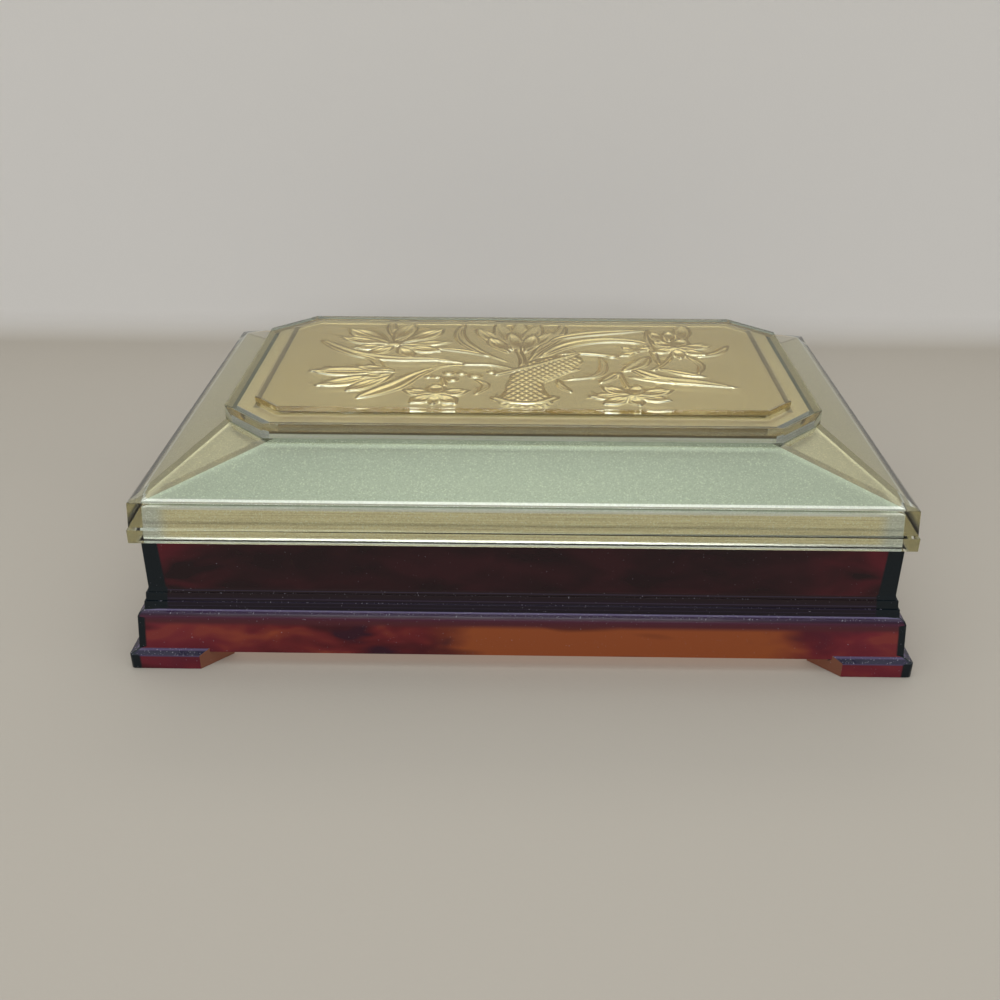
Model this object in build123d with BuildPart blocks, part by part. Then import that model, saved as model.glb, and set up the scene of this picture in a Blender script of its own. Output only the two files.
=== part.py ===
from build123d import *
import math
import os

# A footed jewelry box in moulded plastic: a dark tray on four bracket feet, and a clear hinged lid
# whose inside face is lacquered gold. Millimetres, +Z up, front towards -Y.
# The origin is on the ground under the middle of the box.

# Lid, outside
lid_width = 190.0  # across the rim's upper edge, left to right
lid_depth = 126.6  # across the rim's upper edge, front to back
rim_height = 10.6
rim_flare = 0.6  # how much the rim spreads on each side from its upper edge to its lower one
rim_band_height = 3.5  # raised band along the rim's lower edge
rim_band_rise = 0.25
roof_rise = 8.3  # from the rim's upper edge to the foot of the raised panel
end_hip_run = 17.3  # from the rim's edge in to the raised panel, at the left and the right
front_hip_run = 20.1  # the same at the front and the rear
panel_corner_cut = 12.3
panel_step = 4.1  # height of the raised panel's side
end_border = 7.6  # from the panel's edge in to the platform that carries the relief, left and right
front_border = 8.0  # the same at the front and the rear
platform_corner_cut = 6.8
platform_step = 1.3

# Lid, inside
lid_wall = 3.0
relief_ground_wall = 2.6  # clear plastic over the ground of the relief
relief_recess_inset = 1.5  # from the platform's edge in to the recess under it
coat_thickness = 0.2  # gold lacquer on the inside face
coat_edge_gap = 0.3  # bare plastic between the lacquer and the rim's lower edge
lid_edge_radius = 0.3  # along the upper edges of the panel and the platform

# Tray, outside. A spread is how far a face stands out from the rim's upper edge, on every side
seat_height = 34.8  # the lid's lower edge rests here, above the ground
wall_spread = -1.4
waist_height = 20.9  # the plain wall ends here
cove_drop = 1.2
cove_reach = 0.3
step_width = 0.35  # flat top of each of the two steps
step_taper = 0.2  # how much each step's side leans out
lower_step_height = 17.4
ledge_back_height = 15.3
ledge_front_spread = 1.1
ledge_front_height = 14.8
fascia_top_spread = 1.5
fascia_top_height = 13.9
fascia_bottom_spread = 2.2
skirt_clearance = 3.8  # from the ground to the plinth's lower edge

# Tray, inside
tray_wall = 3.4
skirt_wall = 2.6
floor_thickness = 2.6
floor_underside = 10.6
lip_rise = 2.6  # the inner lip that locates the lid
lip_clearance = 0.3

# Feet
foot_spread = 4.3
foot_height = 4.0
foot_ledge_rise = 0.9  # the foot's top slopes up to the plinth
foot_length = 18.0
foot_width = 7.0  # each arm of the bracket, from its outside face to its inside face
foot_corner_radius = 1.2

# Hinge
hinge_spacing = 104.0  # between the middles of the two hinges
knuckle_radius = 2.0
knuckle_standoff = 0.8  # from the rim's rear face to the hinge axis
lid_knuckle_length = 8.0
tray_knuckle_length = 5.0
knuckle_side_gap = 0.3
notch_clearance = 0.3  # between a tray knuckle and the notch in the rim
notch_depth = 12.0  # front to back, more than the rim's wall
gusset_drop = 4.5  # how far the arm of a tray knuckle runs down the wall
stop_reach = 0.6  # the stop stands this far out of the tray knuckle
stop_depth = 1.5
pin_radius = 0.8
pin_end_chamfer = 0.2
pin_running_fit = 0.05
pin_push_fit = 0.02

# Soft fittings
lining_thickness = 1.2
lining_drop = 0.8  # from the lip's upper edge down to the lining's
lining_joint_gap = 0.1
pad_thickness = 7.0
pad_clearance = 0.3
pad_edge_radius = 2.5

# Worked out from the sizes above
rim_bottom = seat_height
rim_top = rim_bottom + rim_height
panel_width = lid_width - 2 * end_hip_run
panel_depth = lid_depth - 2 * front_hip_run
platform_width = panel_width - 2 * end_border
platform_depth = panel_depth - 2 * front_border
roof_top = rim_top + roof_rise
panel_top = roof_top + panel_step
platform_top = panel_top + platform_step
floor_top = floor_underside + floor_thickness
lip_top = seat_height + lip_rise
half_width = lid_width / 2
half_depth = lid_depth / 2
inner_width = lid_width + 2 * (wall_spread - tray_wall)
inner_depth = lid_depth + 2 * (wall_spread - tray_wall)
wall_rear_face = half_depth + wall_spread
rim_rear_face = half_depth + rim_flare + rim_band_rise
hinge_y = rim_rear_face + knuckle_standoff
hinge_z = rim_bottom
hinge_centres = {"left": -hinge_spacing / 2, "right": hinge_spacing / 2}
tray_knuckle_offset = (lid_knuckle_length + tray_knuckle_length) / 2 + knuckle_side_gap
pin_length = lid_knuckle_length + 2 * (knuckle_side_gap + tray_knuckle_length)
overlap = 0.5  # how far a joined form runs into its neighbour


def mitred_form(side_outline, front_outline):
    """A four-sided form with mitred corners, from (distance from the middle, height) pairs."""
    reach = lid_width
    with BuildPart() as form:
        for plane, outline in ((Plane.XZ, side_outline), (Plane.YZ, front_outline)):
            with BuildSketch(plane):
                with BuildLine():
                    mirrored = [(-distance, height) for distance, height in reversed(outline)]
                    Polyline(*outline, *mirrored, close=True)
                make_face()
            keep = Mode.ADD if plane == Plane.XZ else Mode.INTERSECT
            extrude(amount=reach, both=True, mode=keep)
    return form.part


def spread_form(outline):
    """A mitred form from (spread beyond the rim's upper edge, height) pairs."""
    side = [(half_width + spread, height) for spread, height in outline]
    front = [(half_depth + spread, height) for spread, height in outline]
    return mitred_form(side, front)


def octagon(width, depth, cut, inset=0.0):
    """Draws a rectangle with 45 degree corners, drawn in by an inset on every side."""
    rectangle = Rectangle(width - 2 * inset, depth - 2 * inset)
    chamfer(rectangle.vertices(), length=cut - inset * (2 - math.sqrt(2)))


def roof_knee(half_span, half_panel, inset):
    """Where the flared rim meets the slope above it, both drawn in by an inset."""
    slope = math.atan2(roof_rise, half_span - half_panel)
    flare = rim_flare / rim_height
    drop = inset * (1 / math.cos(slope) - math.tan(slope)) / (1 - flare * math.tan(slope))
    return half_span - inset + flare * drop, rim_top - drop


def roof_outline(half_span, half_panel, inset, low):
    """One side of the lid, up its rim and slope, as (distance from the middle, height) pairs."""
    wall, knee = roof_knee(half_span, half_panel, inset)
    top = roof_top - inset / 2
    run = (top - knee) * (half_span - half_panel) / roof_rise
    spread = rim_flare * (knee - low) / rim_height
    return [(wall + spread, low), (wall, knee), (wall - run, top)]


def corner_plane(side_x, side_y, inset):
    """The roof's corner facet, from the rim's corner up to the clipped corner of the panel."""
    half_panel = (panel_width / 2, panel_depth / 2)
    rim = Vector(half_width, half_depth, rim_top)
    beside = Vector(half_panel[0] - panel_corner_cut, half_panel[1], roof_top)
    behind = Vector(half_panel[0], half_panel[1] - panel_corner_cut, roof_top)
    normal = (beside - rim).cross(behind - rim)
    wall_x, knee_x = roof_knee(half_width, half_panel[0], inset)
    wall_y, knee_y = roof_knee(half_depth, half_panel[1], inset)
    origin = (side_x * wall_x, side_y * wall_y, min(knee_x, knee_y))
    return Plane(origin=origin, z_dir=(side_x * normal.X, side_y * normal.Y, normal.Z))


def casket(inset, low):
    """The lid's rim and hipped roof, drawn in by an inset, from a low height up."""
    side = roof_outline(half_width, panel_width / 2, inset, low)
    front = roof_outline(half_depth, panel_depth / 2, inset, low)
    with BuildPart() as form:
        add(mitred_form(side, front))
        for side_x in (-1, 1):
            for side_y in (-1, 1):
                split(bisect_by=corner_plane(side_x, side_y, inset), keep=Keep.BOTTOM)
    return form.part


def lid_hollow(coat, low):
    """The hollow of the lid, smaller by a coat's thickness, from a low height up."""
    wall = lid_wall + coat
    with BuildPart() as form:
        add(casket(wall, low))
        with BuildSketch(Plane.XY.offset(rim_top)):
            octagon(panel_width, panel_depth, panel_corner_cut, wall)
        extrude(amount=panel_top - wall - rim_top)
        with BuildSketch(Plane.XY.offset(rim_top)):
            octagon(platform_width, platform_depth, platform_corner_cut, relief_recess_inset + coat)
        extrude(amount=platform_top - relief_ground_wall - coat - rim_top)
    return form.part


def notches():
    """Where the rim is cut away round the tray's knuckles."""
    width = tray_knuckle_length + 2 * knuckle_side_gap
    with BuildPart() as form:
        for centre in hinge_centres.values():
            for side in (-1, 1):
                middle = (centre + side * tray_knuckle_offset, half_depth)
                with BuildSketch(Plane.XY.offset(rim_bottom - overlap)):
                    with Locations(middle):
                        Rectangle(width, notch_depth)
                extrude(amount=overlap + knuckle_radius + notch_clearance)
    return form.part


def pin_form(centre, radius):
    """A round bar along the hinge axis, as long as a hinge."""
    with BuildPart() as form:
        with BuildSketch(Plane.YZ.offset(centre - pin_length / 2)):
            with Locations((hinge_y, hinge_z)):
                Circle(radius)
        extrude(amount=pin_length)
    return form.part


# Lid shell: clear plastic, one moulding with its hinge knuckles
with BuildPart() as lid_shell:
    add(casket(0, rim_bottom))
    band_spread = rim_flare + rim_band_rise
    add(spread_form([(band_spread, rim_bottom), (band_spread, rim_bottom + rim_band_height)]))
    panel = (roof_top, panel_step, panel_width, panel_depth, panel_corner_cut)
    platform = (panel_top, platform_step, platform_width, platform_depth, platform_corner_cut)
    for foot, step, width, depth, corner_cut in (panel, platform):
        with BuildSketch(Plane.XY.offset(foot)):
            octagon(width, depth, corner_cut)
        extrude(amount=step)
        fillet(lid_shell.faces().sort_by(Axis.Z)[-1].edges(), radius=lid_edge_radius)
    add(lid_hollow(0, rim_bottom - overlap), mode=Mode.SUBTRACT)
    add(notches(), mode=Mode.SUBTRACT)
    for centre in hinge_centres.values():
        with BuildSketch(Plane.YZ.offset(centre - lid_knuckle_length / 2)):
            with Locations((hinge_y, hinge_z)):
                Circle(knuckle_radius)
            with Locations((hinge_y, hinge_z)):
                web = knuckle_standoff + overlap
                Rectangle(web, knuckle_radius, align=(Align.MAX, Align.MIN))
        extrude(amount=lid_knuckle_length)
        add(pin_form(centre, pin_radius + pin_running_fit), mode=Mode.SUBTRACT)
lid_shell.part.label = "lid_shell"

# Gold coat: metal-flake lacquer all over the lid's inside face
with BuildPart() as lid_gold_coat:
    add(lid_hollow(0, rim_bottom + coat_edge_gap))
    add(lid_hollow(coat_thickness, rim_bottom), mode=Mode.SUBTRACT)
    add(notches(), mode=Mode.SUBTRACT)
lid_gold_coat.part.label = "lid_gold_coat"

# Tray: walls, floor, stepped plinth, four bracket feet and hinge knuckles in one moulding
upper_step_height = waist_height - cove_drop
spread = wall_spread
tray_outline = [(spread, seat_height), (spread, waist_height)]
spread += cove_reach
tray_outline.append((spread, upper_step_height))
for low_edge, high_edge in ((lower_step_height, upper_step_height), (ledge_back_height, lower_step_height)):
    spread += step_width
    tray_outline.append((spread, high_edge))
    spread += step_taper
    tray_outline.append((spread, low_edge))
tray_outline.append((ledge_front_spread, ledge_front_height))
tray_outline.append((fascia_top_spread, fascia_top_height))
tray_outline.append((fascia_bottom_spread, skirt_clearance))
tray_outline.reverse()

foot_top = foot_height + foot_ledge_rise
fascia_lean = (fascia_bottom_spread - fascia_top_spread) / (fascia_top_height - skirt_clearance)
foot_top_spread = fascia_bottom_spread - fascia_lean * (foot_top - skirt_clearance)
foot_corner = (half_width + foot_spread, half_depth + foot_spread)

with BuildPart() as feet:
    with BuildSketch(Plane.XY):
        with BuildLine():
            outer_x, outer_y = foot_corner
            inner_x = outer_x - foot_width
            inner_y = outer_y - foot_width
            Polyline(
                (outer_x, outer_y),
                (outer_x - foot_length, outer_y),
                (inner_x - foot_length, inner_y),
                (inner_x, inner_y),
                (inner_x, inner_y - foot_length),
                (outer_x, outer_y - foot_length),
                close=True,
            )
        make_face()
        mirror(about=Plane.YZ)
        mirror(about=Plane.XZ)
    extrude(amount=foot_top)
    foot_outline = [(foot_spread, 0), (foot_spread, foot_height), (foot_top_spread, foot_top)]
    add(spread_form(foot_outline), mode=Mode.INTERSECT)
    upright = feet.edges().filter_by(Axis.Z)
    corner_reach = sum(foot_corner) - overlap
    outer_edges = [edge for edge in upright if abs(edge.center().X) + abs(edge.center().Y) > corner_reach]
    fillet(outer_edges, radius=foot_corner_radius)

lip_half = rim_flare * (rim_top - lip_top) / rim_height - lid_wall - coat_thickness - lip_clearance
with BuildPart() as base_tray:
    add(spread_form(tray_outline))
    add(spread_form([(lip_half, seat_height - overlap), (lip_half, lip_top)]))
    with BuildSketch(Plane.XY.offset(floor_top)):
        Rectangle(inner_width, inner_depth)
    extrude(amount=lip_top - floor_top, mode=Mode.SUBTRACT)
    hollow_width = lid_width + 2 * (fascia_top_spread - skirt_wall)
    hollow_depth = lid_depth + 2 * (fascia_top_spread - skirt_wall)
    with BuildSketch(Plane.XY.offset(floor_underside)):
        Rectangle(hollow_width, hollow_depth)
    extrude(amount=-floor_underside, mode=Mode.SUBTRACT)
    add(feet.part)
    for centre in hinge_centres.values():
        for side in (-1, 1):
            start = centre + side * tray_knuckle_offset - tray_knuckle_length / 2
            with BuildSketch(Plane.YZ.offset(start)):
                with Locations((hinge_y, hinge_z)):
                    Circle(knuckle_radius)
                    stop = knuckle_radius + stop_reach
                    Rectangle(stop, stop_depth, align=(Align.MIN, Align.MAX))
                with BuildLine():
                    Polyline(
                        (wall_rear_face - overlap, hinge_z),
                        (hinge_y, hinge_z),
                        (hinge_y, hinge_z - knuckle_radius),
                        (wall_rear_face, hinge_z - knuckle_radius - gusset_drop),
                        (wall_rear_face - overlap, hinge_z - knuckle_radius - gusset_drop),
                        close=True,
                    )
                make_face()
            extrude(amount=tray_knuckle_length)
        add(pin_form(centre, pin_radius + pin_push_fit), mode=Mode.SUBTRACT)
base_tray.part.label = "base_tray"

# Hinge pins: straight steel wire, one for each hinge
hinge_pins = []
for name, centre in hinge_centres.items():
    with BuildPart() as hinge_pin:
        add(pin_form(centre, pin_radius))
        chamfer(hinge_pin.edges().filter_by(GeomType.CIRCLE), length=pin_end_chamfer)
    hinge_pin.part.label = "hinge_pin_" + name
    hinge_pins.append(hinge_pin.part)

# Linings: velvet over card, one strip on each wall, the side strips between the long ones
lining_height = lip_top - lining_drop - floor_top
side_strip_length = inner_depth - 2 * (lining_thickness + lining_joint_gap)
lining_places = {
    "front_lining": (0, -(inner_depth - lining_thickness) / 2, inner_width, lining_thickness),
    "rear_lining": (0, (inner_depth - lining_thickness) / 2, inner_width, lining_thickness),
    "left_lining": (-(inner_width - lining_thickness) / 2, 0, lining_thickness, side_strip_length),
    "right_lining": ((inner_width - lining_thickness) / 2, 0, lining_thickness, side_strip_length),
}
linings = []
for name, (x, y, width, depth) in lining_places.items():
    with BuildPart() as lining:
        with BuildSketch(Plane.XY.offset(floor_top)):
            with Locations((x, y)):
                Rectangle(width, depth)
        extrude(amount=lining_height)
    lining.part.label = name
    linings.append(lining.part)

# Floor pad: a thin velvet cushion that lies on the tray's floor
with BuildPart() as floor_pad:
    pad_margin = 2 * (lining_thickness + pad_clearance)
    with BuildSketch(Plane.XY.offset(floor_top)):
        Rectangle(inner_width - pad_margin, inner_depth - pad_margin)
    extrude(amount=pad_thickness)
    fillet(floor_pad.edges().filter_by(Axis.Z), radius=pad_edge_radius)
    fillet(floor_pad.faces().sort_by(Axis.Z)[-1].edges(), radius=pad_edge_radius)
floor_pad.part.label = "floor_pad"

os.makedirs("parts", exist_ok=True)
finished = [lid_shell.part, lid_gold_coat.part, base_tray.part, floor_pad.part, *hinge_pins, *linings]
for piece in finished:
    export_step(piece, "parts/" + piece.label + ".step")
    print(piece.label, "solids", len(piece.solids()), "volume", round(piece.volume, 1))
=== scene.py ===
# Footed jewelry box: a clear lid lacquered gold on its inside, over a marbled tray on bracket feet.
import math
from functools import partial

import bmesh
import bpy
import numpy as np
from mathutils import Matrix, Vector


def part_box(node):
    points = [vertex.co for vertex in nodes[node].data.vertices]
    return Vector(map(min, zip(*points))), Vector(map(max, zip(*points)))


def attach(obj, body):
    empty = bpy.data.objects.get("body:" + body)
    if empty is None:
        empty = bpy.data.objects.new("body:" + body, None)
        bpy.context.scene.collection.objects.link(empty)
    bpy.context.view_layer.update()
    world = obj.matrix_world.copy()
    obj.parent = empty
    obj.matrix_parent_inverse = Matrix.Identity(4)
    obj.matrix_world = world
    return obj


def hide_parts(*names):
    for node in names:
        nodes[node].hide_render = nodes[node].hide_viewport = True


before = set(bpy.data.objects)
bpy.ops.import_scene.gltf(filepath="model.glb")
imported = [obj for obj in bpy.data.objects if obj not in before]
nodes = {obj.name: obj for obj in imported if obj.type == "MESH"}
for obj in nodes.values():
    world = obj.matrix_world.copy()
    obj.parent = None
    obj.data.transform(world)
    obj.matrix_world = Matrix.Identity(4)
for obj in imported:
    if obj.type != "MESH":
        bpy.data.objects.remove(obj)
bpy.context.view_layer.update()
mm = 0.001
print("frame loaded,", len(nodes), "nodes")


def linear(hexColour):
    parts = [int(hexColour[i:i + 2], 16) / 255 for i in (1, 3, 5)]
    return [p / 12.92 if p <= 0.04045 else ((p + 0.055) / 1.055) ** 2.4 for p in parts] + [1]


def grey(level):
    return [level] * 3 + [1]


def addNode(tree, kind, inputs=None, stops=None, **settings):
    made = tree.nodes.new("ShaderNode" + kind)
    for name, value in settings.items():
        setattr(made, name, value)
    for name, value in (inputs or {}).items():
        if isinstance(value, bpy.types.NodeSocket):
            tree.links.new(value, made.inputs[name])
        else:
            made.inputs[name].default_value = value
    if stops:
        ramp = made.color_ramp.elements
        while len(ramp) < len(stops):
            ramp.new(1)
        for element, (place, colour) in zip(ramp, stops):
            element.position = place
            element.color = colour
    return made


def newMaterial(name):
    material = bpy.data.materials.new(name)
    material.use_nodes = True
    material.node_tree.nodes.clear()
    return material, partial(addNode, material.node_tree)


def only(piece):
    bpy.ops.object.select_all(action="DESELECT")
    piece.select_set(True)
    bpy.context.view_layer.objects.active = piece


def modify(piece, kind, **settings):
    only(piece)
    modifier = piece.modifiers.new(kind, kind)
    for name, value in settings.items():
        setattr(modifier, name, value)
    bpy.ops.object.modifier_apply(modifier=modifier.name)


def finishPiece(piece, name, body, material, smoothAngle=35, weighted=False):
    piece.name = name
    piece.data.name = name
    piece.data.materials.clear()
    piece.data.materials.append(material)
    only(piece)
    bpy.ops.object.transform_apply(location=True, rotation=True, scale=True)
    bpy.ops.object.shade_smooth_by_angle(angle=math.radians(smoothAngle))
    if weighted:
        modify(piece, "WEIGHTED_NORMAL", keep_sharp=True)  # large flat faces keep their own shading
    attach(piece, body)
    return piece


def roundEdges(piece, radius, segments, sharpest, hipShare=0.0, edgeShare=1.0, kneeHeight=None, lipRange=(0, 0)):
    # rounds the outward edges that are sharper than an angle, the blunter hips by a share of the radius,
    # and leaves the inward corners crisp; only the edges at the knee's height get the whole radius
    shape = bmesh.new()
    shape.from_mesh(piece.data)
    weight = shape.edges.layers.float.new("bevel_weight_edge")
    for edge in shape.edges:
        if len(edge.link_faces) == 2:
            angle = math.degrees(edge.calc_face_angle_signed())
            hip = 8 < abs(angle) <= sharpest
            knee = kneeHeight and all(abs(v.co.z - kneeHeight * mm) < 0.1 * mm for v in edge.verts)
            lip = all(lipRange[0] < v.co.z / mm < lipRange[1] for v in edge.verts)
            share = 1.0 if knee else 0.0 if lip else edgeShare
            edge[weight] = share if angle > sharpest else hipShare if hip and angle > 0 else 0.0
            edge.smooth = not (hip and edge[weight] == 0)
    shape.to_mesh(piece.data)
    shape.free()
    modify(piece, "BEVEL", width=radius * mm, segments=segments, limit_method="WEIGHT")


def copyNode(node):
    # a merged copy of a CAD node, with its flat faces joined, to refine by hand
    piece = bpy.data.objects.new(node, nodes[node].data.copy())
    bpy.context.scene.collection.objects.link(piece)
    only(piece)
    bpy.ops.object.mode_set(mode="EDIT")
    bpy.ops.mesh.select_all(action="SELECT")
    bpy.ops.mesh.customdata_custom_splitnormals_clear()
    bpy.ops.mesh.remove_doubles(threshold=0.002 * mm)
    bpy.ops.mesh.dissolve_limited(angle_limit=math.radians(0.6))
    bpy.ops.object.mode_set(mode="OBJECT")
    return piece


# camera at the photograph's viewing angle
cameraSet = {
    "place": (-1.4326, -296.558, 168.432),  # mm
    "yaw": -0.016, "pitch": 0.479, "roll": 0.003,  # radians
    "lens": 39.716, "sensor": 36.0,
}


def makeCamera(s):
    ahead = Vector((math.sin(s["yaw"]) * math.cos(s["pitch"]), math.cos(s["yaw"]) * math.cos(s["pitch"]),
                    -math.sin(s["pitch"])))
    right = Vector((math.cos(s["yaw"]), -math.sin(s["yaw"]), 0))
    up = right.cross(ahead)
    right, up = (right * math.cos(s["roll"]) + up * math.sin(s["roll"]),
                 up * math.cos(s["roll"]) - right * math.sin(s["roll"]))
    data = bpy.data.cameras.new("camera")
    data.lens = s["lens"]
    data.sensor_width = s["sensor"]
    data.clip_start = 0.01
    data.clip_end = 20
    camera = bpy.data.objects.new("camera", data)
    turn = Matrix((right, up, -ahead)).transposed().to_4x4()
    camera.matrix_world = Matrix.Translation(Vector(s["place"]) * mm) @ turn
    bpy.context.scene.collection.objects.link(camera)
    bpy.context.scene.camera = camera


makeCamera(cameraSet)

# floor, backdrop and light
studio = {
    "floorColour": "#b0a89c", "wallColour": "#e6e3df",
    "wallDistance": 190, "wallHeight": 210,  # mm behind the middle of the box, and up to the open sky
    "sweepRadius": 12,
    # the room gets lighter and cooler from the horizon up: sine of the height, tone
    "sky": [(0.0, "#8c877f"), (0.25, "#aaa7a2"), (0.6, "#dadee1"), (1.0, "#eef4f8")], "skyStrength": 1.0,
    # each lamp: name, place, what it points at, width and height, all in mm, power in watts, colour
    "lamps": [
        ("softbox", (0, -100, 1500), (0, 0, 0), (1300, 1300), 3.2, "#fbfdff"),
        ("key", (0, 60, 1300), (0, 0, 0), (600, 500), 2.0, "#fbfdff"),
        ("window", (-60, -1100, 420), (0, -60, 40), (700, 160), 2.8, "#fbfdff"),
        # seen over the backdrop, it picks out the near side of each leaf of the relief
        ("rear card", (0, 700, 782), (0, 0, 57), (900, 240), 1.0, "#fffaf0"),
        # light that comes down through the translucent tray on to the floor under it
        ("under glow", (0, 0, 3.6), (0, 0, 0), (188, 129), 0.042, "#ffeae0"),
    ],
}


def makeStudio(s):
    bpy.ops.object.select_all(action="DESELECT")
    bpy.ops.mesh.primitive_plane_add(size=1)
    floor = bpy.context.object
    floor.name = "floor"
    floor.scale = (4, 4, 1)
    floor.location = (0, s["wallDistance"] * mm - 2, 0)
    bpy.ops.object.transform_apply(location=True, rotation=True, scale=True)
    bpy.ops.object.mode_set(mode="EDIT")
    bpy.ops.mesh.select_mode(type="EDGE")
    bpy.ops.mesh.select_all(action="DESELECT")
    bpy.ops.object.mode_set(mode="OBJECT")
    wallY = s["wallDistance"] * mm
    for edge in floor.data.edges:
        edge.select = all(floor.data.vertices[v].co.y > wallY - 0.001 for v in edge.vertices)
    bpy.ops.object.mode_set(mode="EDIT")
    bpy.ops.mesh.extrude_region_move(TRANSFORM_OT_translate={"value": (0, 0, s["wallHeight"] * mm)})
    bpy.ops.object.mode_set(mode="OBJECT")
    modify(floor, "BEVEL", width=s["sweepRadius"] * mm, segments=6, limit_method="ANGLE",
           angle_limit=math.radians(40))
    bpy.ops.object.shade_smooth()
    material, add = newMaterial("pale paper sweep")
    place = add("TexCoord").outputs["Object"]
    height = add("SeparateXYZ", {"Vector": place}).outputs["Z"]
    climb = add("MapRange", {"Value": height, "From Max": 0.012}).outputs["Result"]
    fibre = add("TexNoise", {"Vector": place, "Scale": 900, "Detail": 3}).outputs["Fac"]
    colour = add("Mix", {
        "Factor": climb, "A": linear(s["floorColour"]), "B": linear(s["wallColour"])}, data_type="RGBA")
    bump = add("Bump", {"Height": fibre, "Strength": 0.15, "Distance": 0.0002})
    shade = add("BsdfPrincipled", {
        "Base Color": colour.outputs["Result"], "Roughness": 0.85, "Specular IOR Level": 0.2,
        "Normal": bump.outputs["Normal"]})
    add("OutputMaterial", {"Surface": shade.outputs["BSDF"]})
    floor.data.materials.append(material)

    world = bpy.data.worlds.new("studio")
    bpy.context.scene.world = world
    world.use_nodes = True
    world.node_tree.nodes.clear()
    add = partial(addNode, world.node_tree)
    ahead = add("TexCoord").outputs["Generated"]
    climb = add("SeparateXYZ", {"Vector": ahead}).outputs["Z"]
    tone = add("ValToRGB", {"Fac": climb}, stops=[
        (sine, linear(shade)) for sine, shade in s["sky"]]).outputs["Color"]
    sky = add("Background", {"Color": tone, "Strength": s["skyStrength"]})
    add("OutputWorld", {"Surface": sky.outputs["Background"]})

    for name, place, target, (width, height), power, tone in s["lamps"]:
        lampData = bpy.data.lights.new(name, "AREA")
        lampData.shape = "RECTANGLE"
        lampData.size, lampData.size_y = width * mm, height * mm
        lampData.energy = power
        lampData.color = linear(tone)[:3]
        lamp = bpy.data.objects.new(name, lampData)
        lamp.location = Vector(place) * mm
        lamp.rotation_euler = (Vector(target) - Vector(place)).to_track_quat("-Z", "Y").to_euler()
        bpy.context.scene.collection.objects.link(lamp)


makeStudio(studio)
bpy.context.scene.view_settings.view_transform = "Standard"
# light is led a long way inside the clear plastic before it leaves it
bounces = bpy.context.scene.cycles
bounces.max_bounces, bounces.glossy_bounces, bounces.transmission_bounces, bounces.diffuse_bounces = 20, 16, 20, 4
print("camera and studio set")

# clear styrene: the lid's shell, injection moulded and polished, scratched by use
clearStyrene = {
    "colour": "#f3f6ea",  # faintly green in the thickness
    "refraction": 1.57,
    "roughness": 0.03,
}


def makeClear(s):
    material, add = newMaterial("clear styrene, moulded")
    glass = add("BsdfPrincipled", {
        "Base Color": linear(s["colour"]), "Transmission Weight": 1.0, "IOR": s["refraction"],
        "Roughness": s["roughness"]})
    add("OutputMaterial", {"Surface": glass.outputs["BSDF"]})
    return material


# gold lacquer: metal flake in a clear coat, sprayed on the inside of the lid; a satin sheen with fine sparks
goldLacquer = {
    # tones by the way a face looks: the lacquer's gold on level faces, and painted reflections of the room on the rest,
    # cool grey-green on the front slope, pale on the end slopes, khaki on the corner facets, browner on the rear slope
    "flat": "#e6d5a6", "front": "#a6af99", "rear": "#c4ae7c", "end": "#ebe4d0",
    "facet": "#d2c9a4",  # on the roof's corner facets
    # up the upright faces: height in mm, tone; thin pale painted highlights at the rim's lower edge and at the knee, a
    # pale one on the panel's steps, a brown painted shade at the foot of the recess wall, and a bluish painted
    # reflection above it round the relief
    "uprights": [(35.3, "#f4f4ea"), (35.8, "#f3e7bd"), (42.7, "#f3e7bd"), (42.9, "#f8f8ee"), (43.3, "#f8f8ee"),
                 (49.0, "#fcfef0"), (54.0, "#fcfef0"), (54.25, "#6a5c42"), (55.4, "#6a5c42"),
                 (55.7, "#8f94a6")],
    "kneeHighlight": "#f6f8f0", "kneeHighlightHeight": 43.65, "kneeHighlightBlend": 0.08,  # mm, a painted highlight along the foot of the slopes
    "creaseShade": "#868d7c", "creaseShadeHeight": 51.3, "creaseShadeReach": 0.36,  # mm, painted shade along the top of the slopes
    # a pale bluish-grey painted reflection on the rim's clipped corners, and on the end walls from so many mm off the
    # middle
    "corner": "#d6dae2", "turnStart": 53, "turnEnd": 57,
    "cornerGlare": "#dfe3d8", "fadeStart": 85.5, "fadeEnd": 89.5,  # mm from the middle, where a pale painted reflection comes in towards the ends of the front and rear walls
    "shadeLine": 68.6, "shadeLineWidth": 1.7, "shadeLineReach": 31, "shadeLineFactor": 0.45,  # mm, a painted shade line at each end of the recess, and how dark it is
    # share of metal shine, duller where the coat is thicker; the panel's steps start at panelFoot, in mm
    "lustre": 0.72, "rimLustre": 0.45, "slopeLustre": 0.58, "cornerLustre": 0.15, "stepLustre": 0.2,
    "panelFoot": 50, "roughness": 0.2, "slopeRoughness": 0.36,
    "streak": 0.16, "streakSize": 0.35, "streakDraw": 0.012,  # size in mm, spray bands drawn out along the walls
    "flakeSize": 0.25,  # mm, drawn coarser than the real 0.1 mm so that it shows
    # the sparks are painted glints on a share of the flakes; the mottle is their random tone
    "mottle": 0.12, "sparkShare": 0.1, "spark": 0.42,
}
# on the relief too the tones by facing are painted light: its front-facing flanks cream-white as painted highlights
reliefLacquer = goldLacquer | dict.fromkeys(
    ("lustre", "rimLustre", "slopeLustre", "cornerLustre", "stepLustre"), 0.8) | {
    "flat": "#e2d09c", "front": "#fbf6e0", "rear": "#d8c896", "end": "#e2d2a2", "facet": "#e2cf98",
    "uprights": [(35, "#e4daae"), (60, "#e4daae")], "corner": "#e4daae", "cornerGlare": "#e4daae",
    "streak": 0.0, "mottle": 0.05, "spark": 0.12, "roughness": 0.16, "slopeRoughness": 0.16, "shadeLineFactor": 1.0}


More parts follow.
